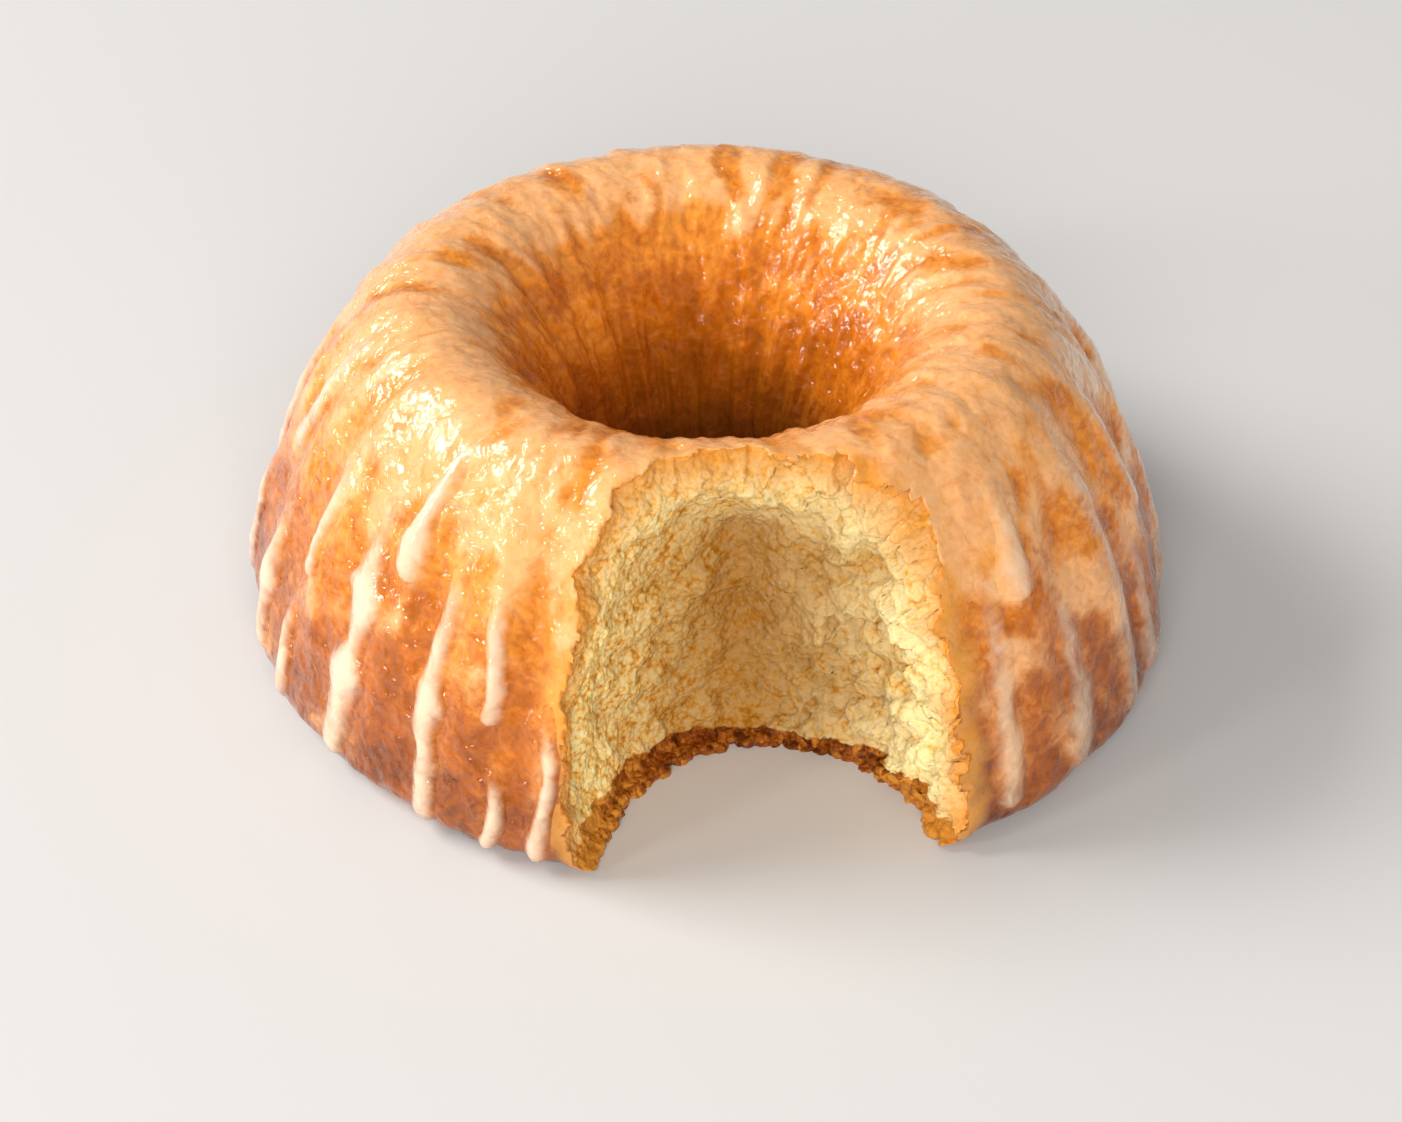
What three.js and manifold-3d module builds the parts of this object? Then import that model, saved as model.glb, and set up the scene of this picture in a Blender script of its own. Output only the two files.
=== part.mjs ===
// A bundt cake: a ring of yellow butter cake baked in a softly fluted tube pan, turned out with
// its crown up and glazed while warm. One piece has been pulled out of the front, which leaves
// a torn, cave-like hollow and shows the crumb; the ring is still whole behind it. The glaze
// stands on the crust as separate set runs. Millimetres, +Z up, the hollow faces -Y.
import * as THREE from "three";
import { mergeVertices } from "three/addons/utils/BufferGeometryUtils.js";
import Module from "manifold-3d";

// ---- sizes of the ring ---------------------------------------------------------------------
const OUTER_RADIUS = 105; // widest place, just above the plate
const HEIGHT = 79.5; // plate to crest
const HOLE_RADIUS = 23.5; // left by the tube of the pan, measured at the bottom
const FOOT_TUCK = 7; // how far the bottom edge draws in under the widest place
const FOOT_HEIGHT = 5; // height of the widest place above the plate
const CREST_RADIUS = 62.3; // the line of the crest
const OUT_OF_ROUND = 1.5; // the ring spread a little along one diagonal in the oven
const SPREAD_TOWARD = 50; // degrees from the front, of that diagonal
const FLUTES = 24;
const FLUTE_DEPTH = 1.1; // half the height from valley to rib, blurred by the glaze

// ---- sizes of the hollow -------------------------------------------------------------------
const BITE_AT = 13.5; // its middle lies this far to the right of the front
const BITE_HALF_WIDTH = 42; // where it is widest
const BITE_WIDEST_HEIGHT = 20; // height of that place above the plate
const BITE_BACK = 52.8; // distance of its back wall from the middle of the ring, at that height
const BITE_MOUTH_TUCK = 5; // the mouth line, in from the widest place
const BASE_CRUST = 5.5; // thickness of the firm brown bottom, which tore off later
const BASE_CRUST_LEDGE = 2.5; // how far that bottom stands out past the crumb above
const TEAR_RELIEF = 1.1; // unevenness of the torn wall

// ---- sizes of the glaze --------------------------------------------------------------------
const GLAZE_GAP = 0.5; // clearance between crust and glaze
const GLAZE_THICK = 1.7; // middle of a run; the drop at its end is fuller
const BACK_RUNS = 13; // runs on the half turned away from the hollow
const BACK_RUN_WIDTH = 7;
const BACK_RUN_START = 12; // degrees past the last run on either side

// Runs from the hollow round both sides: how far past its edge they lie (degrees), where they
// start and stop between crest (0) and foot (1), and their width.
const LEFT_RUNS = [
  { past: 3.7, from: 0.56, to: 0.93, width: 4.8 },
  { past: 10.1, from: 0.74, to: 0.93, width: 4.2 },
  { past: 11.8, from: 0.3, to: 0.64, width: 4.6 },
  { past: 20.1, from: 0.2, to: 0.93, width: 6.2 },
  { past: 27.8, from: 0.08, to: 0.42, width: 6 },
  { past: 35.3, from: 0.18, to: 0.92, width: 8.4 },
  { past: 46.8, from: 0.26, to: 0.58, width: 6 },
  { past: 49.8, from: 0.66, to: 0.92, width: 7 },
  { past: 57.8, from: 0.48, to: 0.9, width: 7 },
  { past: 66.3, from: 0.06, to: 0.46, width: 7 },
  { past: 74.3, from: 0.52, to: 0.91, width: 7 },
];
const RIGHT_RUNS = [
  { past: 6.3, from: 0.24, to: 0.9, width: 6 },
  { past: 12.6, from: 0.16, to: 0.45, width: 6 },
  { past: 18.1, from: 0.4, to: 0.91, width: 8 },
  { past: 30.1, from: 0.14, to: 0.9, width: 8 },
  { past: 38.6, from: 0.58, to: 0.92, width: 7 },
  { past: 44.6, from: 0.14, to: 0.55, width: 6 },
  { past: 52.1, from: 0.03, to: 0.34, width: 9 },
  { past: 57.1, from: 0.46, to: 0.91, width: 7 },
];

const rad = THREE.MathUtils.degToRad;

// A quarter of a superellipse in the (radius, height) plane, from its side to its top.
function quarter(side, sidePower, bottom, topPower, steps = 40) {
  const points = [];
  for (let i = 0; i <= steps; i++) {
    const t = (Math.PI / 2) * (i / steps);
    points.push(new THREE.Vector2(
      CREST_RADIUS + (side - CREST_RADIUS) * Math.cos(t) ** (2 / sidePower),
      bottom + (HEIGHT - bottom) * Math.max(Math.sin(t), 0) ** (2 / topPower),
    ));
  }
  return points;
}

// The wall from the crest down to the plate, and from the crest down the hole.
const foot = [
  new THREE.Vector2(OUTER_RADIUS - 0.28 * FOOT_TUCK, 0.3 * FOOT_HEIGHT),
  new THREE.Vector2(OUTER_RADIUS - FOOT_TUCK, 0),
];
const shoulder = quarter(OUTER_RADIUS, 1.9, FOOT_HEIGHT, 1.25).reverse();
const outerWall = new THREE.SplineCurve([...shoulder, ...foot]);
const innerWall = new THREE.SplineCurve(quarter(HOLE_RADIUS, 2.1, 0, 2).reverse());

// A point on the crust: the angle from the front in radians, and a place on one of the walls
// from 0 at the crest to 1 at the plate. The flutes fade out toward the crest and the plate,
// and the hole stays round, as the tube of the pan left it.
function crust(wall, angle, along) {
  const p = wall.getPointAt(THREE.MathUtils.clamp(along, 0, 1));
  const outside = wall === outerWall;
  const fade = Math.sin(Math.PI * THREE.MathUtils.clamp(along, 0, 1)) ** 0.8;
  const rib = FLUTE_DEPTH * Math.cos(FLUTES * angle) * fade * (outside ? 1 : -0.5);
  const share = (p.x - HOLE_RADIUS) / (OUTER_RADIUS - HOLE_RADIUS);
  const spread = OUT_OF_ROUND * Math.cos(2 * (angle - rad(SPREAD_TOWARD))) * share;
  const r = p.x + rib + spread;
  return new THREE.Vector3(r * Math.sin(angle), -r * Math.cos(angle), Math.max(p.y, 0));
}

// The outward direction of the outer crust, from two short steps along it.
function crustNormal(angle, along) {
  const e = 1e-3;
  const around = crust(outerWall, angle + e, along).sub(crust(outerWall, angle - e, along));
  const down = crust(outerWall, angle, along + e).sub(crust(outerWall, angle, along - e));
  return down.cross(around).normalize();
}

// Six times the volume inside a closed skin; it comes out negative when the skin faces inward.
function volumeOf(positions, index) {
  const corner = (i) => new THREE.Vector3().fromArray(positions, 3 * index[i]);
  let total = 0;
  for (let i = 0; i < index.length; i += 3) total += corner(i).dot(corner(i + 1).cross(corner(i + 2)));
  return total;
}

// A closed solid from rings of points that all have the same count, with a cap on each end.
function loft(rings, closedLoop = false) {
  const n = rings[0].length;
  const positions = rings.flat().flatMap((p) => [p.x, p.y, p.z]);
  const index = [];
  const last = closedLoop ? rings.length : rings.length - 1;
  for (let i = 0; i < last; i++) {
    const a = i * n;
    const b = ((i + 1) % rings.length) * n;
    for (let j = 0; j < n; j++) {
      const k = (j + 1) % n;
      index.push(a + j, b + j, b + k, a + j, b + k, a + k);
    }
  }
  if (!closedLoop) {
    for (let j = 1; j < n - 1; j++) {
      const b = (rings.length - 1) * n;
      index.push(0, j, j + 1, b, b + j + 1, b + j);
    }
  }
  if (volumeOf(positions, index) < 0) index.reverse();
  const geometry = new THREE.BufferGeometry();
  geometry.setAttribute("position", new THREE.Float32BufferAttribute(positions, 3));
  geometry.setIndex(index);
  return geometry;
}

// The whole ring before the piece was pulled out: one loop of the section at every step round.
function wholeRing() {
  const columns = FLUTES * 6;
  const rings = [];
  for (let i = 0; i < columns; i++) {
    const angle = (2 * Math.PI * i) / columns;
    const loop = [];
    for (let k = 0; k <= 17; k++) loop.push(crust(outerWall, angle, 1 - k / 17));
    for (let k = 1; k <= 11; k++) loop.push(crust(innerWall, angle, k / 11));
    rings.push(loop);
  }
  return loft(rings, true);
}

// The hollow: plan outlines stacked from below the plate to above the crest. It is widest and
// deepest low down, so the crown hangs over it, and the firm bottom crust stands out.
function hollow() {
  const mouth = OUTER_RADIUS - BITE_MOUTH_TUCK;
  const reach = mouth - BITE_BACK;
  const low = BITE_WIDEST_HEIGHT;
  const levels = [-4, 0, 0.5 * BASE_CRUST, BASE_CRUST, BASE_CRUST + 1.2];
  for (let k = 1; k <= 10; k++) levels.push(BASE_CRUST + 1.2 + (k / 10) * (HEIGHT + 6 - BASE_CRUST));
  const rings = levels.map((z) => {
    const above = Math.max(0, (z - low) / (HEIGHT - low)) ** 2;
    const below = Math.max(0, (low - z) / low) ** 2;
    const ledge = z <= BASE_CRUST ? BASE_CRUST_LEDGE : 0;
    const half = BITE_HALF_WIDTH * (1 - 0.24 * above - 0.13 * below) - ledge;
    const deep = reach * (1 - 0.16 * above - 0.1 * below) - ledge;
    const power = 2 + 0.9 * THREE.MathUtils.smoothstep(z, 0.5 * HEIGHT, HEIGHT);
    const ring = [new THREE.Vector3(BITE_AT - half, -mouth - 30, z)];
    for (let i = 0; i <= 32; i++) {
      const t = Math.PI * (1 - i / 32);
      const c = Math.cos(t);
      const s = Math.max(Math.sin(t), 0);
      const rough = TEAR_RELIEF * (Math.sin(5.1 * t + 0.11 * z) + Math.sin(11.3 * t - 0.23 * z)) * 0.5;
      const x = Math.sign(c) * Math.abs(c) ** (2 / power) * (half + rough);
      ring.push(new THREE.Vector3(BITE_AT + x, -mouth + s ** (2 / power) * (deep + rough), z));
    }
    ring.push(new THREE.Vector3(BITE_AT + half, -mouth - 30, z));
    return ring;
  });
  return loft(rings);
}

// One set run of glaze: a lens-shaped strand lying on the crust, thin where it leaves the wet
// coat near the crown and fullest in the drop where it stopped.
function glazeRun({ at, from, to, width }) {
  const length = (to - from) * outerWall.getLength();
  const stops = [0, 0.1 * width, 0.3 * width];
  const plain = Math.ceil((length - 0.6 * width) / 6.5);
  for (let k = 1; k < plain; k++) stops.push(0.3 * width + ((length - 0.6 * width) * k) / plain);
  stops.push(length - 0.3 * width, length - 0.1 * width, length);
  const rings = stops.map((d) => {
    const t = d / length;
    const tip = Math.max(0, 1 - Math.min(d, length - d) / (0.5 * width));
    const end = Math.max(0.3, Math.sqrt(1 - tip * tip));
    const half = 0.5 * width * end * (0.74 + 0.26 * THREE.MathUtils.smoothstep(t, 0.5, 0.9));
    const high = GLAZE_THICK * end * (0.45 + 0.75 * t);
    const along = from + (to - from) * t;
    const centre = rad(at + 0.7 * Math.sin(at + 5 * t));
    const middle = crust(outerWall, centre, along);
    const spot = (across, lift) => {
      const angle = centre + (across * half) / Math.hypot(middle.x, middle.y);
      return crust(outerWall, angle, along).addScaledVector(crustNormal(angle, along), GLAZE_GAP + lift);
    };
    const top = [spot(0.6, 0.8 * high), spot(0, high), spot(-0.6, 0.8 * high)];
    return [spot(-1, 0), spot(0, 0), spot(1, 0), ...top];
  });
  return loft(rings);
}

// Every run with its angle from the front, in degrees and positive to the right: those that
// start from either edge of the hollow, then those spread over the back.
function allRuns() {
  const degrees = THREE.MathUtils.radToDeg;
  const leftEdge = degrees(Math.asin((BITE_HALF_WIDTH - BITE_AT) / OUTER_RADIUS));
  const rightEdge = degrees(Math.asin((BITE_HALF_WIDTH + BITE_AT) / OUTER_RADIUS));
  const runs = [
    ...LEFT_RUNS.map((run) => ({ ...run, at: -leftEdge - run.past })),
    ...RIGHT_RUNS.map((run) => ({ ...run, at: rightEdge + run.past })),
  ];
  const first = rightEdge + RIGHT_RUNS.at(-1).past + BACK_RUN_START;
  const last = 360 - leftEdge - LEFT_RUNS.at(-1).past - BACK_RUN_START;
  for (let i = 0; i < BACK_RUNS; i++) {
    const long = i % 3 !== 1;
    runs.push({
      at: first + ((last - first) * i) / (BACK_RUNS - 1),
      from: 0.12 + 0.08 * Math.sin(2.3 * i),
      to: long ? 0.86 + 0.05 * Math.sin(1.7 * i) : 0.56 + 0.08 * Math.sin(2.9 * i),
      width: BACK_RUN_WIDTH + Math.sin(3.1 * i),
    });
  }
  return runs;
}

// ---- booleans ------------------------------------------------------------------------------
const wasm = await Module();
wasm.setup();

function toManifold(geometry) {
  geometry.deleteAttribute("normal");
  geometry.deleteAttribute("uv");
  const merged = mergeVertices(geometry, 1e-4);
  return new wasm.Manifold(new wasm.Mesh({
    numProp: 3,
    vertProperties: Float32Array.from(merged.attributes.position.array),
    triVerts: Uint32Array.from(merged.index.array),
  }));
}

function toGeometry(solid) {
  const mesh = solid.getMesh();
  const geometry = new THREE.BufferGeometry();
  const positions = [];
  for (let i = 0; i < mesh.vertProperties.length; i += mesh.numProp) {
    positions.push(...mesh.vertProperties.slice(i, i + 3));
  }
  geometry.setAttribute("position", new THREE.Float32BufferAttribute(positions, 3));
  geometry.setIndex([...mesh.triVerts]);
  return geometry;
}

// ---- the parts -----------------------------------------------------------------------------
const group = new THREE.Group();
group.name = "bundt_cake";

function add(name, geometry, colour, roughness) {
  geometry.computeVertexNormals();
  const material = new THREE.MeshStandardMaterial({ color: colour, roughness, metalness: 0 });
  const mesh = new THREE.Mesh(geometry, material);
  mesh.name = name;
  group.add(mesh);
}

const cake = toGeometry(toManifold(wholeRing()).subtract(toManifold(hollow())));
const runs = allRuns().map(glazeRun);

// The origin stands on the plate, under the middle of the footprint of cake and glaze.
const box = new THREE.Box3();
for (const geometry of [cake, ...runs]) {
  geometry.computeBoundingBox();
  box.union(geometry.boundingBox);
}
const middle = box.getCenter(new THREE.Vector3());
for (const geometry of [cake, ...runs]) geometry.translate(-middle.x, -middle.y, 0);

add("cake", cake, 0xd68f47, 0.45);
runs.forEach((geometry, i) => {
  add(`glaze_run_${String(i + 1).padStart(2, "0")}`, geometry, 0xf0d3ad, 0.25);
});

export default group;
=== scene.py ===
import math
import bmesh
import bpy
import numpy as np
from mathutils.kdtree import KDTree
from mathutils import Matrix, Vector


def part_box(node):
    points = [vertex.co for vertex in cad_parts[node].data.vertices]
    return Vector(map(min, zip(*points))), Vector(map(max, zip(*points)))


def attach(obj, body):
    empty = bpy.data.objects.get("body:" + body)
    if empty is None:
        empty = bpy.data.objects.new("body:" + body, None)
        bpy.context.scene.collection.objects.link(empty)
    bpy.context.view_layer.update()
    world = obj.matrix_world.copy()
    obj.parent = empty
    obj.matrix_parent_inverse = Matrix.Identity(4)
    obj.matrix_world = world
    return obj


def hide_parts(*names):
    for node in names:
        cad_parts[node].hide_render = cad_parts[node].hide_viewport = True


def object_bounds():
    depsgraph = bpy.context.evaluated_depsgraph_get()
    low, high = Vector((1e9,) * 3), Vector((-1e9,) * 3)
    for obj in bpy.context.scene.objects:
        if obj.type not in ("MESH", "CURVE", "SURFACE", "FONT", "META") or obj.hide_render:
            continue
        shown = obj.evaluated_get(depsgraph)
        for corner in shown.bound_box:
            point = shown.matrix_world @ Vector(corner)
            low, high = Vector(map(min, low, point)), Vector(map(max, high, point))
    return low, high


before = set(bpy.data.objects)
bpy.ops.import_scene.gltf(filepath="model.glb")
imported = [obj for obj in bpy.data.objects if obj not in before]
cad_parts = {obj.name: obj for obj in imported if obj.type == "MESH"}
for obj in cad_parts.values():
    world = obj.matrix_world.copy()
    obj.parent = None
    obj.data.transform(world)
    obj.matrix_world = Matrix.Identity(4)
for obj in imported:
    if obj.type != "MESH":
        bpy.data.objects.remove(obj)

cad_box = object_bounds()

# ---- The baked ring ------------------------------------------------------------------------
# Yellow butter cake baked in a softly fluted tube pan and turned out crown up. Its skin has
# browned, and a thin sugar glaze poured over it while warm lies on it as a wet, streaky film.
OUTER_RADIUS, FOOT_TUCK, FOOT_HEIGHT = 105.0, 7.0, 5.0  # millimetres here, metres in the mesh
HEIGHT, CREST_RADIUS, HOLE_RADIUS = 79.5, 62.3, 23.5
OUT_OF_ROUND, SPREAD_TOWARD = 1.5, math.radians(50)
FLUTES, FLUTE_DEPTH = 24, 1.1
RING_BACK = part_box("cake")[1][1] * 1000 - OUTER_RADIUS  # the ring's axis lies this far along Y
AROUND, UPWARD, UNDER = 500, 155, 14  # mesh points round the ring, up its section, and below
FLOW_RADIUS, MM_PER_DEGREE = 85.0, 1.62  # for laying streaks and runs out along the crust


def cell_hash(cells, seed):
    """Three repeatable random numbers, 0 to 1, for each integer cell."""
    x, y, z = (cells[..., i].astype(np.int64) for i in range(3))
    h = x * 73856093 ^ y * 19349663 ^ z * 83492791 ^ (seed * 2654435761)
    out = []
    for k in range(3):
        h = (h ^ (h >> 13)) * 1274126177 + 97 * k
        h &= 0x7FFFFFFFFFFF
        out.append(((h >> 16) & 0xFFFF) / 65535.0)
    return np.stack(out, -1)


def drift(points, size, seed=0):
    """Smooth noise, about -1 to 1, over points in mm; size is one length or one for each axis."""
    q = points / np.asarray(size, float)
    cell = np.floor(q)
    f = q - cell
    w = f * f * f * (f * (f * 6 - 15) + 10)
    total = np.zeros(len(points))
    for corner in np.ndindex(2, 2, 2):
        c = np.array(corner)
        slope = cell_hash(cell + c, seed) * 2 - 1
        weight = np.prod(np.where(c == 1, w, 1 - w), axis=1)
        total += weight * np.sum(slope * (f - c), axis=1)
    return np.clip(total * 1.5, -1, 1)


def clumps(points, size, seed=0):
    """Distance to the nearest crumb centre over the crumb size, and that crumb's own number."""
    q = points / size
    cell = np.floor(q)
    best = np.full(len(points), 9.0)
    own = np.zeros(len(points))
    for corner in np.ndindex(3, 3, 3):
        at = cell + np.array(corner) - 1
        h = cell_hash(at, seed)
        d = np.sum((at + h - q) ** 2, axis=1)
        nearer = d < best
        best = np.where(nearer, d, best)
        own = np.where(nearer, h[:, 0], own)
    return np.sqrt(best), own


def ease(x, low, high):
    """0 up to low, 1 from high on, and a soft rise between."""
    t = np.clip((x - low) / (high - low), 0, 1)
    return t * t * (3 - 2 * t)


QUARTER_STEPS = 120


def quarter(side, side_power, bottom, top_power):
    """One side of the section as (radius, height), from its widest or narrowest place to the crest."""
    t = np.linspace(0, math.pi / 2, QUARTER_STEPS)
    c, s = np.clip(np.cos(t), 0, 1), np.clip(np.sin(t), 0, 1)
    return np.c_[CREST_RADIUS + (side - CREST_RADIUS) * c ** (2 / side_power),
                 bottom + (HEIGHT - bottom) * s ** (2 / top_power)]


# The section of the ring, from the bottom edge up to the crest and down the hole.
foot_turn = np.linspace(math.pi / 2, 0, 12, endpoint=False)
foot = np.c_[OUTER_RADIUS - FOOT_TUCK + FOOT_TUCK * np.cos(foot_turn),
             FOOT_HEIGHT * (1 - np.sin(foot_turn))]
section = np.vstack([foot, quarter(OUTER_RADIUS, 1.9, FOOT_HEIGHT, 1.25),
                     quarter(HOLE_RADIUS, 2.1, 0, 2)[::-1][1:]])
section_run = np.r_[0, np.cumsum(np.hypot(*np.diff(section, axis=0).T))]
CREST_RUN = section_run[len(foot) + QUARTER_STEPS - 1]
END_RUN = section_run[-1]


def skin(angle, run):
    """Points and outward directions of the plain crust; run is the way up from the bottom."""
    r, z = np.interp(run, section_run, section[:, 0]), np.interp(run, section_run, section[:, 1])
    ahead, back = np.minimum(run + 0.6, END_RUN), np.maximum(run - 0.6, 0)
    dr = np.interp(ahead, section_run, section[:, 0]) - np.interp(back, section_run, section[:, 0])
    dz = np.interp(ahead, section_run, section[:, 1]) - np.interp(back, section_run, section[:, 1])
    length = np.hypot(dr, dz)
    nr, nz = dz / length, -dr / length
    outside = run < CREST_RUN
    along = np.where(outside, 1 - run / CREST_RUN, (run - CREST_RUN) / (END_RUN - CREST_RUN))
    fade = np.clip(np.sin(math.pi * np.clip(along, 0, 1)), 0, 1) ** 0.8
    rib = FLUTE_DEPTH * np.cos(FLUTES * angle) * fade * np.where(outside, 1, -0.5)
    share = (r - HOLE_RADIUS) / (OUTER_RADIUS - HOLE_RADIUS)
    r = r + rib + OUT_OF_ROUND * np.cos(2 * (angle - SPREAD_TOWARD)) * share
    sin, cos = np.sin(angle), np.cos(angle)
    return (np.stack([r * sin, RING_BACK - r * cos, z], -1),
            np.stack([nr * sin, -nr * cos, nz], -1))


def flow_of(angle, run):
    """The crust rolled out flat round a cylinder, in mm, so that streaks can follow its fall."""
    return np.stack([FLOW_RADIUS * np.sin(angle), -FLOW_RADIUS * np.cos(angle), run], -1)


# Where the glaze ran down: degrees past either edge of the hollow, where each run starts and
# stops between crest (0) and foot (1), and its width. The back has its own, evenly spread.
LEFT_RUNS = [(3.7, 0.56, 0.93, 4.8), (10.1, 0.74, 0.93, 4.2), (11.8, 0.30, 0.64, 4.6),
             (20.1, 0.20, 0.93, 6.2), (27.8, 0.08, 0.42, 6.0), (35.3, 0.18, 0.92, 8.4),
             (46.8, 0.26, 0.58, 6.0), (49.8, 0.66, 0.92, 7.0), (57.8, 0.48, 0.90, 7.0),
             (66.3, 0.06, 0.46, 7.0), (74.3, 0.52, 0.91, 7.0)]
RIGHT_RUNS = [(6.3, 0.24, 0.90, 6.0), (12.6, 0.16, 0.45, 6.0), (18.1, 0.40, 0.91, 8.0),
              (30.1, 0.14, 0.90, 8.0), (38.6, 0.58, 0.92, 7.0), (44.6, 0.14, 0.55, 6.0),
              (52.1, 0.03, 0.34, 9.0), (57.1, 0.46, 0.91, 7.0)]
BACK_RUNS, BACK_RUN_START, BACK_RUN_WIDTH = 13, 12.0, 7.0
BITE_AT, BITE_HALF_WIDTH = 13.5, 42.0
left_edge = math.degrees(math.asin((BITE_HALF_WIDTH - BITE_AT) / OUTER_RADIUS))
right_edge = math.degrees(math.asin((BITE_HALF_WIDTH + BITE_AT) / OUTER_RADIUS))
glaze_runs = [(-left_edge - past, a, b, w) for past, a, b, w in LEFT_RUNS]
glaze_runs += [(right_edge + past, a, b, w) for past, a, b, w in RIGHT_RUNS]
back_first = right_edge + RIGHT_RUNS[-1][0] + BACK_RUN_START
back_last = 360 - left_edge - LEFT_RUNS[-1][0] - BACK_RUN_START
for i in range(BACK_RUNS):
    stop = 0.86 + 0.05 * math.sin(1.7 * i) if i % 3 != 1 else 0.56 + 0.08 * math.sin(2.9 * i)
    glaze_runs.append((back_first + (back_last - back_first) * i / (BACK_RUNS - 1),
                       0.12 + 0.08 * math.sin(2.3 * i), stop, BACK_RUN_WIDTH + math.sin(3.1 * i)))


def film_of(angle, run):
    """How thick the glaze film lies, 0 to 1: soft patches drawn out down the slope, heaviest
    over the crown and on the right, none down the hole, and a trail above every run."""
    p = flow_of(angle, run)
    p = p + 2.2 * np.stack([drift(p, 9, 1), drift(p, 9, 2), drift(p, 9, 4)], -1)
    patch = 0.75 * drift(p, (12, 12, 19), 3) + 0.5 * drift(p, (6.5, 6.5, 9), 5)
    side = np.degrees(np.angle(np.exp(1j * angle)))
    crown = ease(run, 50, 80) * (1 - ease(run, 112, 136))
    right = ease(side, 26, 50) * (1 - ease(side, 125, 160)) * (1 - ease(run, 40, 75))
    lean = -0.34 + 0.78 * crown + 0.34 * right - 1.2 * ease(run, 112, 140)
    trail = np.zeros(len(run))
    for at, start, stop, width in glaze_runs:
        centre = at + 0.7 * math.sin(at)
        off = np.abs((side - centre + 180) % 360 - 180) * MM_PER_DEGREE / (0.62 * width)
        along = 1 - run / CREST_RUN
        ahead = ease(along, start - 0.3, start) * (1 - ease(along, stop - 0.02, stop + 0.05))
        trail = np.maximum(trail, (1 - ease(off, 0.1, 2.4)) * ahead * 0.42)
    return np.clip(ease(patch + lean, -0.28, 0.58) + trail, 0, 1) * ease(run, 3, 12)


def crust_relief(angle, run):
    """How far the crust stands above its plain shape, in mm."""
    p = flow_of(angle, run)
    film = film_of(angle, run)
    rise = 0.7 * drift(p, (13, 13, 19), 11) + 0.55 * drift(p, (6.5, 6.5, 8), 12)
    near, own = clumps(p + 0.8 * drift(p, 3, 15)[:, None], 4.4, 14)
    bare = 0.3 * drift(p, (3.1, 3.1, 3.8), 13) - 0.55 * ease(near, 0.3, 0.9) * (0.4 + 0.6 * own)
    return rise + bare * (1 - 0.45 * film) + 0.6 * film


def mesh_of(name, points, faces):
    """A mesh from points in mm and a list of equal-sided faces."""
    mesh = bpy.data.meshes.new(name)
    sides = faces.shape[1]
    mesh.vertices.add(len(points))
    mesh.vertices.foreach_set("co", (points / 1000).astype(np.float32).ravel())
    mesh.loops.add(faces.size)
    mesh.loops.foreach_set("vertex_index", faces.astype(np.int32).ravel())
    mesh.polygons.add(len(faces))
    mesh.polygons.foreach_set("loop_start", np.arange(0, faces.size, sides, dtype=np.int32))
    mesh.update(calc_edges=True)
    mesh.validate()
    return mesh


def wrap_faces(rows, columns, close_rows, close_columns):
    """Four-sided faces over a grid of points, joined back to its start either way or both."""
    i = np.arange(rows if close_rows else rows - 1)[:, None]
    j = np.arange(columns if close_columns else columns - 1)[None, :]
    a, b = i * columns, ((i + 1) % rows) * columns
    k = (j + 1) % columns
    return np.stack([a + j, a + k, b + k, b + j], -1).reshape(-1, 4)


angles = np.linspace(0, 2 * math.pi, AROUND, endpoint=False)
runs_up = np.linspace(0, END_RUN, UPWARD)
A, S = np.meshgrid(angles, runs_up, indexing="xy")
points, outward = skin(A.ravel(), S.ravel())
settle = ease(S.ravel(), 0, 4) * (1 - ease(S.ravel(), END_RUN - 4, END_RUN))
points += outward * (crust_relief(A.ravel(), S.ravel()) * settle)[:, None]
points[:, 2] = np.clip(points[:, 2], 0, None)
wall = points.reshape(len(runs_up), AROUND, 3)
shares = np.linspace(0, 1, UNDER)[1:-1, None, None]
under = wall[-1] + (wall[0] - wall[-1]) * shares
under[..., 2] = 0
loop = np.concatenate([wall, under])
ring_mesh = mesh_of("ring", loop.reshape(-1, 3), wrap_faces(len(loop), AROUND, True, True))

# ---- The torn hollow -----------------------------------------------------------------------
# One piece was pulled out of the front by hand. The soft crumb tore into grains and clumps;
# the firm brown bottom crust tore off a little later, so it stands out as a ledge.
BITE_WIDEST_HEIGHT, BITE_BACK = 20.0, 52.8
BITE_MOUTH_TUCK, BASE_CRUST, BASE_CRUST_LEDGE = 5.0, 2.6, 1.2


def hollow_outline(z, count):
    """The plan of the hollow at one height, evenly spaced from its left mouth to its right."""
    above = max(0, (z - BITE_WIDEST_HEIGHT) / (HEIGHT - BITE_WIDEST_HEIGHT)) ** 2
    below = max(0, (BITE_WIDEST_HEIGHT - z) / BITE_WIDEST_HEIGHT) ** 2
    ledge = BASE_CRUST_LEDGE * float(ease(BASE_CRUST + 0.6 - z, 0, 1.2))
    mouth = OUTER_RADIUS - BITE_MOUTH_TUCK
    half = BITE_HALF_WIDTH * (1 - 0.24 * above - 0.13 * below) - ledge
    deep = (mouth - BITE_BACK) * (1 - 0.16 * above - 0.1 * below) - ledge
    power = 2 + 0.9 * float(ease(z, 0.5 * HEIGHT, HEIGHT))
    t = np.linspace(math.pi, 0, 200)
    c, s = np.cos(t), np.clip(np.sin(t), 0, 1)
    x = BITE_AT + np.sign(c) * np.abs(c) ** (2 / power) * half
    y = RING_BACK - mouth + s ** (2 / power) * deep
    x, y = np.r_[BITE_AT - half, x, BITE_AT + half], np.r_[y[0] - 16, y, y[-1] - 16]
    way = np.r_[0, np.cumsum(np.hypot(np.diff(x), np.diff(y)))]
    even = np.linspace(0, way[-1], count)
    return np.c_[np.interp(even, way, x), np.interp(even, way, y), np.full(count, z)]


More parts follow.
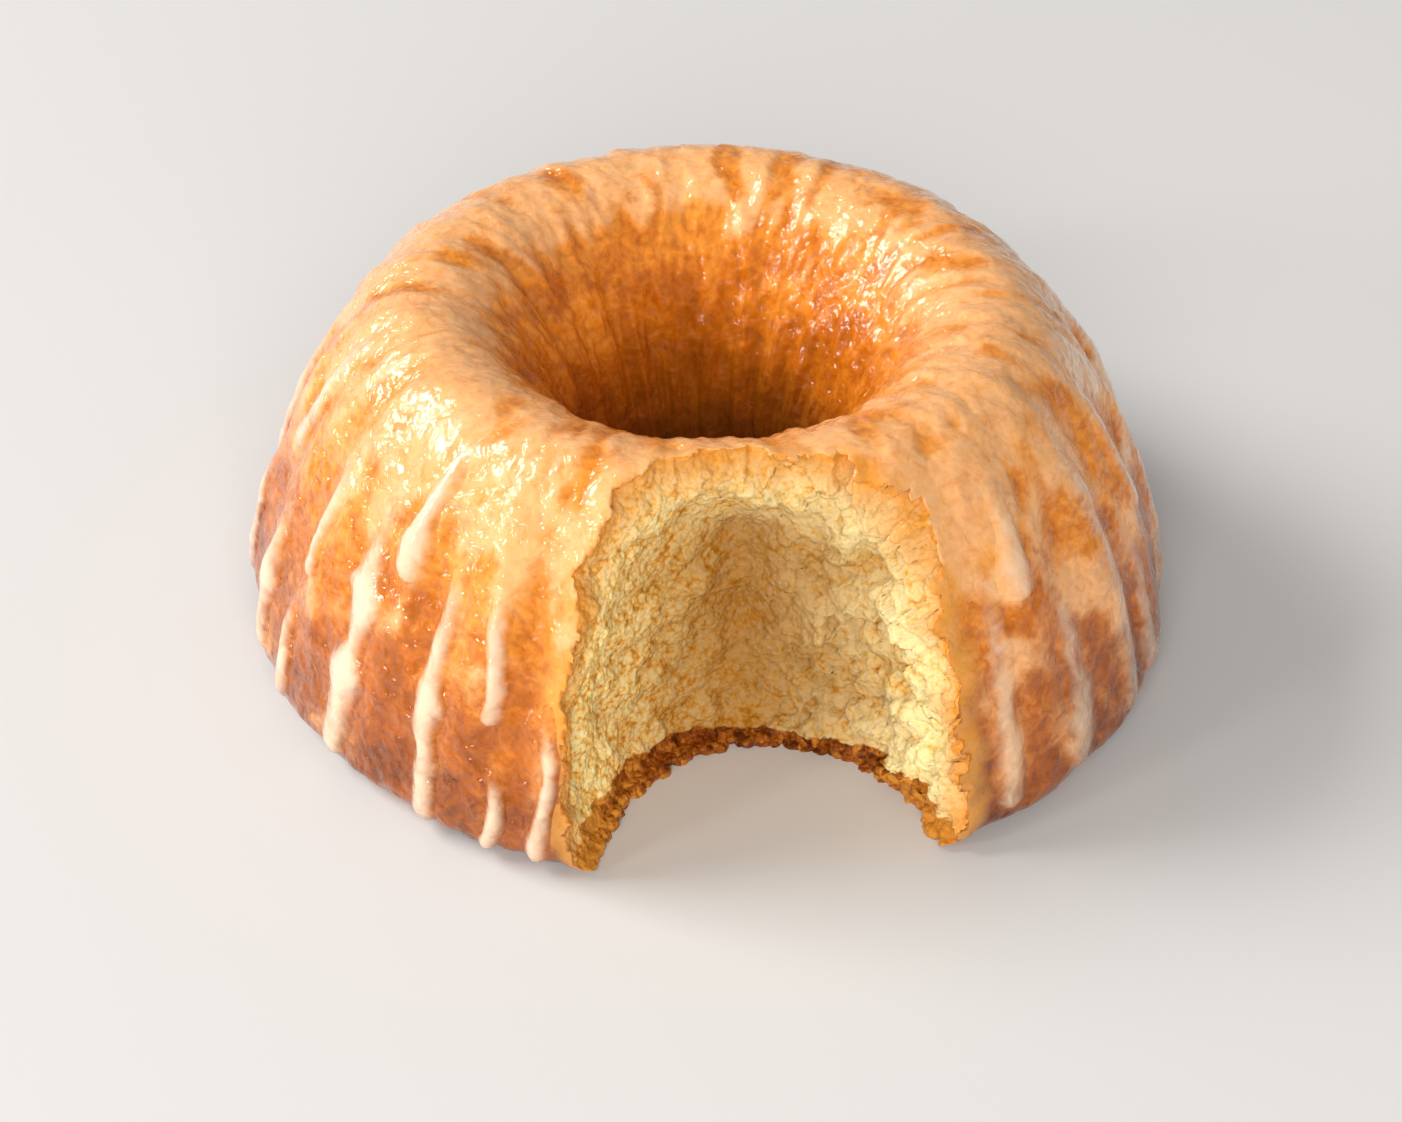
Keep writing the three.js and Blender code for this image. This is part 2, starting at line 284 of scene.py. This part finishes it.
levels = np.r_[-3, -1.5, np.arange(-0.4, 7, 0.3), np.arange(7, HEIGHT + 5, 0.42)]
ACROSS, BEYOND_MOUTH = 470, 24.0  # mesh points from edge to edge; the cutter runs on past the ring
sheet = np.stack([hollow_outline(z, ACROSS) for z in levels])
slope_along = np.gradient(sheet, axis=1)
slope_up = np.gradient(sheet, axis=0)
into_cake = np.cross(slope_up, slope_along)
into_cake /= np.linalg.norm(into_cake, axis=-1, keepdims=True)
p = sheet.reshape(-1, 3)


STATIONS, BATCH = 260, 20000  # places along the section to measure from; points done at once


def place_on_crust(points):
    """For points in mm: the angle, the run of the nearest crust, and the depth under it."""
    x, y, z = points[:, 0], points[:, 1] - RING_BACK, points[:, 2]
    angle, r = np.arctan2(x, -y), np.hypot(x, y)
    r = r - OUT_OF_ROUND * np.cos(2 * (angle - SPREAD_TOWARD)) * np.clip(
        (r - HOLE_RADIUS) / (OUTER_RADIUS - HOLE_RADIUS), 0, 1)
    line_r, line_z = (np.interp(np.linspace(0, END_RUN, STATIONS), section_run, section[:, i])
                      for i in (0, 1))
    run, depth = np.zeros(len(points)), np.zeros(len(points))
    for start in range(0, len(points), BATCH):
        part = slice(start, start + BATCH)
        d = np.hypot(r[part, None] - line_r, z[part, None] - line_z)
        nearest = np.argmin(d, axis=1)
        run[part] = nearest * END_RUN / (STATIONS - 1)
        depth[part] = d[np.arange(len(d)), nearest]
    return angle, run, depth


def grain_tops(points, size, seed):
    """Round grains, as in the firm crust: 0 in the gaps between them, 1 on the largest tops."""
    near, own = clumps(points, size, seed)
    return np.sqrt(np.clip(1 - (near / 0.85) ** 2, 0, 1)) * (0.4 + 0.6 * own)


def broken(points, size, seed):
    """Grains torn apart: each stands out by its own amount and is a little rounded on top."""
    near, own = clumps(points, size, seed)
    return 0.75 * own + 0.4 * np.clip(1 - near * near, 0, 1)


def crumb_rise(points):
    """How far the torn crumb stands out, in mm: clusters, clumps and single grains, craggiest
    on the right and along the top edge."""
    craggy = 0.35 + 1.15 * ease(points[:, 0], 0, 30) + 0.4 * ease(points[:, 2], 50, 70)
    bent = points + 0.6 * np.stack([drift(points, 2.2, k) for k in (31, 32, 33)], -1)
    steps = 1.6 * drift(points, (13, 13, 9), 27)
    return (craggy * (steps + 2.6 * broken(bent, 8.5, 21) + 2.2 * broken(bent, 4.6, 22))
            + 0.8 * broken(points, 2.8, 23) + 0.35 * broken(points, 1.8, 25))


crust_depth = place_on_crust(p)[2]
bevel = (1 - ease(crust_depth, 0, 10)) * (0.2 + 1.0 * ease(p[:, 0], 0, 30) + 2.8 * ease(p[:, 2], 45, 70))
lumps = (1 - ease(crust_depth, 0, 8)) * 2.4 * (0.45 - grain_tops(p, 5.2, 30))
crease = 4.0 * np.exp(-((p[:, 0] - 8) / 5.5) ** 2) * ease(p[:, 2], 2, 25) * (1 - ease(p[:, 2], 48, 66))
tear = 3.2 + 1.6 * drift(p, 16, 24) + 1.5 * drift(p, 7, 29) + crease + bevel + lumps
tear -= crumb_rise(p)
firm = 1 - ease(p[:, 2], BASE_CRUST - 0.5, BASE_CRUST + 1)
tear = tear * (1 - firm) + firm * (2.3 - 3.0 * grain_tops(p, 3.2, 26) - 0.8 * grain_tops(p, 1.5, 28))
p = p + into_cake.reshape(-1, 3) * tear[:, None]
sheet = p.reshape(sheet.shape)
front_left, front_right = (sheet[:, at] + [[0, -BEYOND_MOUTH, 0]] for at in (slice(0, 1), slice(-1, None)))
front_left[..., 0] = BITE_AT - BITE_HALF_WIDTH
front_right[..., 0] = BITE_AT + BITE_HALF_WIDTH
front_left[..., 2] = front_right[..., 2] = levels[:, None]
closed = np.concatenate([front_left, sheet, front_right], axis=1)


def turned_out(mesh, rows=0, columns=0):
    """Turns every face outward, after closing the two end rows if rows and columns are given."""
    work = bmesh.new()
    work.from_mesh(mesh)
    if rows:
        work.verts.ensure_lookup_table()
        for row in (0, rows - 1):
            work.faces.new([work.verts[row * columns + j] for j in range(columns)])
        bmesh.ops.triangulate(work, faces=[f for f in work.faces if len(f.verts) > 4])
    bmesh.ops.recalc_face_normals(work, faces=work.faces)
    work.to_mesh(mesh)
    work.free()


rows, columns = closed.shape[:2]
hollow_mesh = mesh_of("hollow", closed.reshape(-1, 3), wrap_faces(rows, columns, False, True))
turned_out(hollow_mesh, rows, columns)

# ---- The cake, ring less hollow ------------------------------------------------------------
# One baked piece: brown crust outside, porous yellow crumb where it is torn open.
cake = bpy.data.objects.new("cake_baked", ring_mesh)
cutter = bpy.data.objects.new("hollow_cutter", hollow_mesh)
for o in (cake, cutter):
    bpy.context.scene.collection.objects.link(o)
baked_crust = bpy.data.materials.new("baked_crust")
torn_crumb = bpy.data.materials.new("torn_crumb")
for mesh, which in ((ring_mesh, 0), (hollow_mesh, 1)):
    mesh.materials.append(baked_crust)
    mesh.materials.append(torn_crumb)
    mesh.polygons.foreach_set("material_index", np.full(len(mesh.polygons), which, np.int32))
turned_out(ring_mesh)
tear_off = cake.modifiers.new("tear_off", "BOOLEAN")
tear_off.operation, tear_off.solver, tear_off.object = "DIFFERENCE", "MANIFOLD", cutter
tear_off.material_mode = "INDEX"
torn = bpy.data.meshes.new_from_object(cake.evaluated_get(bpy.context.evaluated_depsgraph_get()))
cake.modifiers.clear()
cake.data = torn
bpy.data.objects.remove(cutter)
torn.name = "cake_baked"

count = len(torn.vertices)
co = np.zeros(count * 3, np.float32)
torn.vertices.foreach_get("co", co)
co = co.reshape(-1, 3).astype(float) * 1000
angle, run, depth = place_on_crust(co)


def note(mesh, name, values):
    """Stores one number for each vertex, for the materials to read."""
    mesh.attributes.new(name, "FLOAT", "POINT").data.foreach_set("value", values.astype(np.float32))


note(torn, "film", film_of(angle, run))
note(torn, "depth", depth / 1000)
down_hole = ease(run, CREST_RUN + 14, END_RUN + 4) ** 1.4
note(torn, "down_hole", down_hole)
note(torn, "streak", down_hole * drift(flow_of(angle, run), (2.6, 2.6, 34), 61))
note(torn, "low", 1 - ease(run, 4, 70))
inward = ease(co[:, 1], cad_box[0][1] * 1000 + 20, RING_BACK - BITE_BACK + 4)
note(torn, "bottom", 1 - ease(co[:, 2] + 1.8 * drift(co, 5, 51) - 2.6 * (1 - inward), 1.8, 4.0))
note(torn, "rise", np.where(depth > 0.8, crumb_rise(co) / 4, 0))
# The inward field carries the crumb's painted shade at the back of the hollow, less near the top.
note(torn, "inward", inward * (1 - 0.55 * ease(co[:, 2], 50, 74)))

# How far each point of the front crust lies from the torn edge, which the glaze left bare.
is_crumb, corners = np.zeros(count, bool), np.zeros(len(torn.loops), np.int32)
finish, sides = (np.zeros(len(torn.polygons), np.int32) for _ in range(2))
torn.polygons.foreach_get("material_index", finish)
torn.polygons.foreach_get("loop_total", sides)
torn.loops.foreach_get("vertex_index", corners)
is_crumb[corners[np.repeat(finish == 1, sides)]] = True
on_edge = np.flatnonzero(is_crumb & (depth < 1.0))
torn_edge = KDTree(len(on_edge))
for i in on_edge:
    torn_edge.insert(co[i], int(i))
torn_edge.balance()
gap = np.full(count, 99.0)
for i in np.flatnonzero(~is_crumb & (co[:, 1] < 0)):
    gap[i] = torn_edge.find(co[i])[2]
note(torn, "torn", 1 - ease(gap + 2.2 * drift(co, 5, 55), 0, 6.5))
torn.polygons.foreach_set("use_smooth", np.ones(len(torn.polygons), bool))
torn.update()
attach(cake, "root")
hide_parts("cake")


def put(tree, kind, inputs=None, **settings):
    """Adds a node, with its settings, its values and its links, and returns it."""
    node = tree.nodes.new(kind)
    for name, value in settings.items():
        setattr(node, name, value)
    for name, value in (inputs or {}).items():
        if isinstance(value, bpy.types.NodeSocket):
            tree.links.new(value, node.inputs[name])
        else:
            node.inputs[name].default_value = value
    return node


def tone(code):
    """A paint code such as C97A2E as the linear colour that materials use."""
    parts = [int(code[i:i + 2], 16) / 255 for i in (0, 2, 4)]
    return tuple(((c + 0.055) / 1.055) ** 2.4 if c > 0.04 else c / 12.92 for c in parts) + (1.0,)


def blended(tree, share, first, second):
    """Colour first, or second where share is 1."""
    node = put(tree, "ShaderNodeMix", data_type="RGBA", clamp_factor=True)
    for name, value in (("Factor", share), ("A", first), ("B", second)):
        socket = [s for s in node.inputs if s.name == name and s.enabled][0]
        if isinstance(value, bpy.types.NodeSocket):
            tree.links.new(value, socket)
        else:
            socket.default_value = value
    return [s for s in node.outputs if s.enabled][0]


def sum_of(tree, *terms):
    """A number: each term is (socket, multiplier), and a lone number is added."""
    total = None
    for term in terms:
        if isinstance(term, (int, float)):
            total = put(tree, "ShaderNodeMath", {0: total, 1: float(term)}, operation="ADD").outputs[0]
            continue
        socket, times = term
        inputs = {0: socket, 1: float(times)}
        if total is not None:
            inputs[2] = total
        kind = "MULTIPLY" if total is None else "MULTIPLY_ADD"
        total = put(tree, "ShaderNodeMath", inputs, operation=kind).outputs[0]
    return total


def between(tree, value, low, high):
    """0 where value is low, 1 where it is high, softly."""
    return put(tree, "ShaderNodeMapRange", {"Value": value, "From Min": low, "From Max": high},
               interpolation_type="SMOOTHSTEP").outputs["Result"]


def shades(tree, value, stops):
    """The colour that value gives along a row of (place, paint code)."""
    node = put(tree, "ShaderNodeValToRGB", {"Fac": value})
    ramp = node.color_ramp
    while len(ramp.elements) < len(stops):
        ramp.elements.new(0.5)
    for element, (place, code) in zip(ramp.elements, stops):
        element.position, element.color = place, tone(code)
    return node.outputs["Color"]


def field(tree, name):
    """What note() stored at each vertex under this name."""
    return put(tree, "ShaderNodeAttribute", attribute_name=name).outputs["Fac"]


def speckle(tree, vector, per_metre, detail=3.0, rough=0.55, twist=0.0):
    """Cloudy mottling, finer the more there is to a metre."""
    return put(tree, "ShaderNodeTexNoise", {"Vector": vector, "Scale": per_metre, "Detail": detail,
                                            "Roughness": rough, "Distortion": twist}).outputs["Fac"]


def pools_of(tree, vector):
    """How wet sugar gathers: round pebbled grains, in broader facets, and in curls."""
    pebbles = put(tree, "ShaderNodeTexVoronoi", {"Vector": vector, "Scale": 560.0},
                  feature="SMOOTH_F1").outputs["Distance"]
    facets = put(tree, "ShaderNodeTexVoronoi", {"Vector": vector, "Scale": 230.0, "Smoothness": 0.4},
                 feature="SMOOTH_F1").outputs["Distance"]
    return pebbles, facets, speckle(tree, vector, 190.0, 2.0, 0.5, 0.9)


# The browned skin under wet sugar: mottled amber, browner at the foot, darker and deeper
# golden down the hole (partly browner crust, partly painted shade), milky where the film lies
# thick. The sugar pools between the pebbled grains, so it shines in small curled glints; the gaps
# between the grains are painted darker as painted shade, and the band by the torn edge is painted
# lighter golden, partly the crust seen edge-on and partly a painted glint. The crust shows it bare
# and the runs show it through their thin edges.
wet_skin = bpy.data.node_groups.new("wet_skin", "ShaderNodeTree")
wet_skin.interface.new_socket("Vector", in_out="INPUT", socket_type="NodeSocketVector")
for name in ("Film", "Low", "Hole", "Streak", "Torn"):
    wet_skin.interface.new_socket(name, in_out="INPUT", socket_type="NodeSocketFloat")
wet_skin.interface.new_socket("Color", in_out="OUTPUT", socket_type="NodeSocketColor")
for name in ("Height", "Roughness"):
    wet_skin.interface.new_socket(name, in_out="OUTPUT", socket_type="NodeSocketFloat")
into = put(wet_skin, "NodeGroupInput").outputs
patches = speckle(wet_skin, into["Vector"], 80.0, 4.0, 0.6, 0.5)
flecks = speckle(wet_skin, into["Vector"], 380.0, 3.0, 0.6, 0.8)
# Darker down the hole, by the Hole input: partly browner crust, partly painted shade.
browning_and_hole_shade = sum_of(wet_skin, (patches, 0.6), (flecks, 0.32), (into["Film"], 0.06), (into["Low"], -0.30),
              (into["Hole"], -0.48), (into["Streak"], 0.20), 0.13)
colour = shades(wet_skin, browning_and_hole_shade, [(0.14, "481C02"), (0.36, "9C4C05"), (0.50, "C0660C"),
                                 (0.62, "DF8624"), (0.80, "F0A244")])
pebbles, facets, curls = pools_of(wet_skin, into["Vector"])
# Painted shade: the gaps between the pebbled grains are painted darker.
pit = between(wet_skin, pebbles, 0.40, 0.75)
colour = blended(wet_skin, sum_of(wet_skin, (pit, 0.45)), colour, tone("9C5008"))
ragged = sum_of(wet_skin, (into["Film"], 1.0), (flecks, 0.8), (curls, 0.4), -0.62)
cover = between(wet_skin, ragged, 0.1, 1.25)
# Down the hole the colour also turns a deeper golden brown: partly browner crust, partly painted shade.
colour = blended(wet_skin, sum_of(wet_skin, (into["Hole"], 0.5)), colour, tone("B87420"))
# By the torn edge the crust is painted lighter golden: partly the crust seen edge-on, partly a painted
# glint of wet sugar.
colour = blended(wet_skin, sum_of(wet_skin, (into["Torn"], 0.65)), colour, tone("E9A544"))
colour = blended(wet_skin, sum_of(wet_skin, (cover, 0.8)), colour,
                 blended(wet_skin, cover, tone("E2923A"), tone("F4BC84")))
slack = sum_of(wet_skin, (into["Film"], -0.4), 1.0)
wrinkled = sum_of(wet_skin, (pebbles, -0.42), (facets, -0.42), (curls, 1.1))
height = put(wet_skin, "ShaderNodeMath", {0: wrinkled, 1: slack}, operation="MULTIPLY").outputs[0]
rough = sum_of(wet_skin, (pit, 0.15), (flecks, 0.3), 0.15)
put(wet_skin, "NodeGroupOutput",
    {"Color": colour, "Height": sum_of(wet_skin, (height, 1.0), (cover, 0.15)), "Roughness": rough})


def skin_of(tree):
    """The wet skin, fed with what each vertex knows about its place on the crust."""
    return put(tree, "ShaderNodeGroup",
               {"Vector": put(tree, "ShaderNodeTexCoord").outputs["Object"], "Film": field(tree, "film"),
                "Low": field(tree, "low"), "Hole": field(tree, "down_hole"),
                "Streak": field(tree, "streak"), "Torn": field(tree, "torn")},
               node_tree=wet_skin).outputs


def ripples_on(tree):
    """The waves on top of the clear syrupy coat, coarser than the skin under it."""
    pebbles, facets, curls = pools_of(tree, put(tree, "ShaderNodeTexCoord").outputs["Object"])
    return sum_of(tree, (facets, -0.6), (curls, 1.3), (pebbles, -0.45))


def finish_of(material, colour, roughness, height, lift, soft, bleed, reach, syrup=0.0, ripple=None):
    """Ends a material: gloss from roughness, relief of lift metres, light that bleeds under,
    and a clear syrupy coat with its own ripples."""
    tree = material.node_tree
    bump = put(tree, "ShaderNodeBump", {"Height": height, "Distance": lift, "Strength": 1.0})
    shader = put(tree, "ShaderNodeBsdfPrincipled",
                 {"Base Color": colour, "Roughness": roughness, "Normal": bump.outputs[0],
                  "Subsurface Weight": soft, "Subsurface Radius": bleed,
                  "Subsurface Scale": reach, "IOR": 1.36, "Coat Weight": syrup,
                  "Coat Roughness": 0.04})
    if syrup:
        waves = put(tree, "ShaderNodeBump", {"Height": ripple, "Distance": 0.0010, "Strength": 1.0})
        tree.links.new(waves.outputs[0], shader.inputs["Coat Normal"])
    return put(tree, "ShaderNodeOutputMaterial", {"Surface": shader.outputs[0]})


def blank(material):
    """The material's node tree, emptied."""
    material.use_nodes = True
    material.node_tree.nodes.clear()
    return material.node_tree


tree = blank(baked_crust)
crust = skin_of(tree)
finish_of(baked_crust, crust["Color"], crust["Roughness"], crust["Height"],
          0.0004, 0.25, (1.0, 0.45, 0.15), 0.0015, 0.75, ripples_on(tree))

# The crumb: pale yellow grains, painted darker and deeper yellow in the pores and low places
# between them as painted shade, orange just under the crust, brown at the firm bottom, and
# painted darker towards the back of the hollow as painted shade.
tree = blank(torn_crumb)
here = put(tree, "ShaderNodeTexCoord").outputs["Object"]
dots = speckle(tree, here, 1000.0, 4.0, 0.6)
clots = put(tree, "ShaderNodeTexVoronoi", {"Vector": here, "Scale": 480.0}, feature="F1").outputs
grains = put(tree, "ShaderNodeTexVoronoi", {"Vector": here, "Scale": 950.0}, feature="F1").outputs
clouds = speckle(tree, here, 110.0, 3.0, 0.5)
rise = field(tree, "rise")
# Painted shade: low places (by rise) and the gaps between the clots and grains are painted darker and
# deeper yellow.
value = sum_of(tree, (rise, 0.30), (clots["Distance"], -0.50), (grains["Distance"], -0.65),
               (clots["Color"], 0.30), (grains["Color"], 0.30), (dots, 0.3), (clouds, 0.2), 0.44)
crumb_colour = shades(tree, value, [(0.12, "BC781C"), (0.36, "F2B654"), (0.52, "FFDA86"),
                                    (0.80, "FFECAE")])
# Painted shade: darker brown-gold towards the back of the hollow, less near the top.
crumb_colour = blended(tree, sum_of(tree, (field(tree, "inward"), 0.85)), crumb_colour, tone("965C0A"))
wobble = sum_of(tree, (field(tree, "depth"), 1000.0), (clouds, -6.0), (dots, -2.5), 4.5)
rim = put(tree, "ShaderNodeMapRange", {"Value": wobble, "From Min": 1.0, "From Max": 11.0,
                                       "To Min": 1.0, "To Max": 0.0}).outputs["Result"]
crumb_colour = blended(tree, sum_of(tree, (rim, 0.85)), crumb_colour, tone("DE8E2E"))
firm = sum_of(tree, (field(tree, "bottom"), 1.0), (dots, 0.9), (clouds, 0.9), -0.9)
bottom = between(tree, firm, 0.3, 0.6)
# The bottom crust is brown; its darker tone towards the back of the hollow is painted shade.
bottom_colour = shades(tree, sum_of(tree, (dots, 0.8), (rim, 0.25), (clots["Color"], 0.35),
                                    (field(tree, "inward"), -0.28), (clouds, 0.4), -0.12),
                       [(0.25, "4A1C04"), (0.48, "8E470C"), (0.74, "D0892E")])
crumb_colour = blended(tree, bottom, crumb_colour, bottom_colour)
crumb_height = sum_of(tree, (clots["Distance"], -1.1), (grains["Distance"], -0.6), (dots, 0.5))
crumb_rough = sum_of(tree, (rim, -0.15), (dots, 0.3), 0.2)
finish_of(torn_crumb, crumb_colour, crumb_rough, crumb_height, 0.0004,
          0.25, (1.0, 0.85, 0.55), 0.001)

# ---- The set glaze -------------------------------------------------------------------------
# Sugar glaze that ran down the flutes and set. Each run lies on the crust, feathers out at its
# edges, swells where it slowed, and ends in a rounded drop.
GLAZE_THICK = 1.7
# Where a run slowed and swelled: its number, then places from top to bottom and how much.
SWELLS = {1: [(0.3, 0.35)], 4: [(0.04, 0.6), (0.62, 0.5)], 5: [(0.75, 0.5)],
          6: [(0.12, 0.4), (0.44, 0.7), (0.71, 0.5)], 7: [(0.2, 0.4)], 9: [(0.5, 0.5)],
          14: [(0.75, 0.45)], 15: [(0.3, 0.25), (0.7, 0.3)]}

set_glaze = bpy.data.materials.new("set_glaze")
tree = blank(set_glaze)
shown = skin_of(tree)
thick = field(tree, "thick")
milk = speckle(tree, put(tree, "ShaderNodeTexCoord").outputs["Object"], 260.0, 2.0, 0.5, 0.8)
milky = between(tree, sum_of(tree, (thick, 1.0), (milk, 0.9), -0.45), 0.12, 1.35)
glaze_colour = blended(tree, milky, shown["Color"], tone("E6C8A8"))
thin = sum_of(tree, (milky, -0.5), 1.0)
wrinkles, ripples = (put(tree, "ShaderNodeMath", {0: waves, 1: thin}, operation="MULTIPLY").outputs[0]
                     for waves in (shown["Height"], ripples_on(tree)))
glaze_rough = sum_of(tree, (milky, -0.08), 0.3)
finish_of(set_glaze, glaze_colour, glaze_rough, wrinkles, 0.0005,
          0.15, (1.0, 0.5, 0.25), 0.001, 1.0, ripples)


def glaze_strand(number, at, start, stop, width):
    """One run as a closed strand in mm, with the glaze's thickness, the angle and the run up
    the crust at each point."""
    length = (stop - start) * CREST_RUN
    d = np.r_[0, 0.25, 0.7, np.linspace(1.3, length - 1.3, int(length / 1.1)),
              length - 0.7, length - 0.25, length]
    t = d / length
    tip = np.clip(1 - np.minimum(d, length - d) / (0.5 * width), 0, 1)
    end = np.sqrt(np.clip(1 - tip * tip, 0.01, 1))
    swell = np.ones(len(d))
    for place, more in SWELLS.get(number, [(0.25 + 0.5 * ((number * 0.37) % 1), 0.2)]):
        swell += more * np.exp(-((d - place * length) / (0.75 * width)) ** 2)
    line = np.c_[d, np.full(len(d), 9.0 * number), np.zeros(len(d))]
    broad = 1.25 if 12 <= number <= 19 else 1.0  # the right side is coated more evenly
    half = 0.5 * width * end * (1.1 + 0.3 * ease(t, 0.6, 0.92)) * swell * broad
    left = half * (1 + 0.3 * drift(line, 6.0, 41))
    right = half * (1 + 0.3 * drift(line, 6.0, 42))
    high = GLAZE_THICK * end * (0.12 + 0.95 * ease(t, 0, 0.5)) * (0.4 + 0.6 * swell)
    high *= (1 + 0.2 * drift(line, 8.0, 43)) / broad ** 2
    centre = np.radians(at + 0.7 * np.sin(at + 5 * t)) + 0.008 * drift(line, 15.0, 44)
    across = np.sin(np.linspace(-math.pi / 2, math.pi / 2, 13))
    run = CREST_RUN * (1 - (start + (stop - start) * t))
    D = np.repeat(run[:, None], len(across), 1)
    reach = np.where(across < 0, left[:, None] * across, right[:, None] * across)
    base, _ = skin(centre, run)
    radius = np.hypot(base[:, 0], base[:, 1] - RING_BACK)
    angle = centre[:, None] + reach / radius[:, None]
    spot, outward = skin(angle.ravel(), D.ravel())
    body = np.clip(1 - across ** 2, 0, 1)[None, :] ** 1.25 * np.ones_like(D)
    relief = (crust_relief(angle.ravel(), D.ravel()) * ease(D.ravel(), 0, 4)).reshape(D.shape)
    lift = (high[:, None] + 0.3) * body - 0.3
    top = spot + outward * (relief * (1 - 0.6 * body) + lift).reshape(-1, 1)
    low = spot + outward * (relief - 0.75).reshape(-1, 1)
    rows, columns = D.shape
    top, low = top.reshape(rows, columns, 3), low.reshape(rows, columns, 3)
    ring_of = np.concatenate([top, low[:, ::-1]], axis=1)
    amount = np.concatenate([np.clip(lift, 0, None), np.zeros_like(lift)], axis=1) / GLAZE_THICK
    turn = np.concatenate([angle, angle[:, ::-1]], axis=1)
    return ring_of, amount, turn.ravel(), np.concatenate([D, D], axis=1).ravel()


for number, (at, start, stop, width) in enumerate(glaze_runs, 1):
    strand, amount, turn, up = glaze_strand(number, at, start, stop, width)
    rows, columns = amount.shape
    mesh = mesh_of(f"glaze_{number:02d}", strand.reshape(-1, 3),
                   wrap_faces(rows, columns, False, True))
    turned_out(mesh, rows, columns)
    note(mesh, "thick", amount.ravel())
    note(mesh, "film", film_of(turn, up))
    note(mesh, "low", 1 - ease(up, 4, 70))
    for name in ("down_hole", "streak", "torn"):
        note(mesh, name, np.zeros(len(up)))
    mesh.polygons.foreach_set("use_smooth", np.ones(len(mesh.polygons), bool))
    mesh.materials.append(set_glaze)
    run_piece = bpy.data.objects.new(f"glaze_{number:02d}", mesh)
    bpy.context.scene.collection.objects.link(run_piece)
    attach(run_piece, "root")
    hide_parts(f"glaze_run_{number:02d}")

# ---- Floor, light and camera ---------------------------------------------------------------
# A plain pale surface under a wide soft window light from behind on the left, with a small
# pane for the low glints and a broad fill in front, so that the shaded side stays clear.
bpy.ops.mesh.primitive_plane_add(size=6)
floor = bpy.context.object
floor.name = "floor"
pale = bpy.data.materials.new("pale_floor")
pale.use_nodes = True
shader = pale.node_tree.nodes["Principled BSDF"]
shader.inputs["Base Color"].default_value = tone("D2D0CE")
shader.inputs["Roughness"].default_value = 0.6
floor.data.materials.append(pale)

world = bpy.data.worlds.new("studio")
bpy.context.scene.world = world
world.use_nodes = True
world.node_tree.nodes["Background"].inputs["Color"].default_value = (1.0, 0.99, 0.98, 1)
world.node_tree.nodes["Background"].inputs["Strength"].default_value = 0.30


def soft_light(name, place, wide, tall, watts, colour, mirrored=True):
    """A soft panel aimed at the cake; an unmirrored one shows in no reflection."""
    lamp = bpy.data.lights.new(name, "AREA")
    lamp.shape, lamp.size, lamp.size_y, lamp.energy, lamp.color = "RECTANGLE", wide, tall, watts, colour
    o = bpy.data.objects.new(name, lamp)
    bpy.context.scene.collection.objects.link(o)
    o.location, o.visible_glossy = place, mirrored
    o.rotation_euler = (math.atan2(math.hypot(place[0], place[1]), place[2] - 0.04), 0,
                        math.atan2(-place[0], place[1]) + math.pi)


soft_light("window", (-2.65, 0.75, 2.05), 2.0, 1.3, 118, (1.0, 0.99, 0.98))
soft_light("side_pane", (-2.2, -1.3, 1.1), 0.35, 0.5, 13, (1.0, 0.99, 0.98))
soft_light("fill", (-0.1, -2.7, 1.35), 2.4, 1.4, 78, (1.0, 0.99, 0.97), mirrored=False)

lens = bpy.data.cameras.new("camera")
lens.lens, lens.sensor_width, lens.sensor_fit = 71.9, 36.0, "HORIZONTAL"
CAMERA_OFF, CAMERA_BACK, CAMERA_UP = 0.0013, 0.5196, 0.409  # metres left of, before and above the ring
LOOKING_DOWN = math.radians(37.79)
camera = bpy.data.objects.new("camera", lens)
bpy.context.scene.collection.objects.link(camera)
camera.location = (-CAMERA_OFF, -CAMERA_BACK + RING_BACK / 1000, CAMERA_UP)
camera.rotation_euler = (math.pi / 2 - LOOKING_DOWN, 0, 0)
bpy.context.scene.camera = camera
bpy.context.scene.view_settings.view_transform = "Standard"
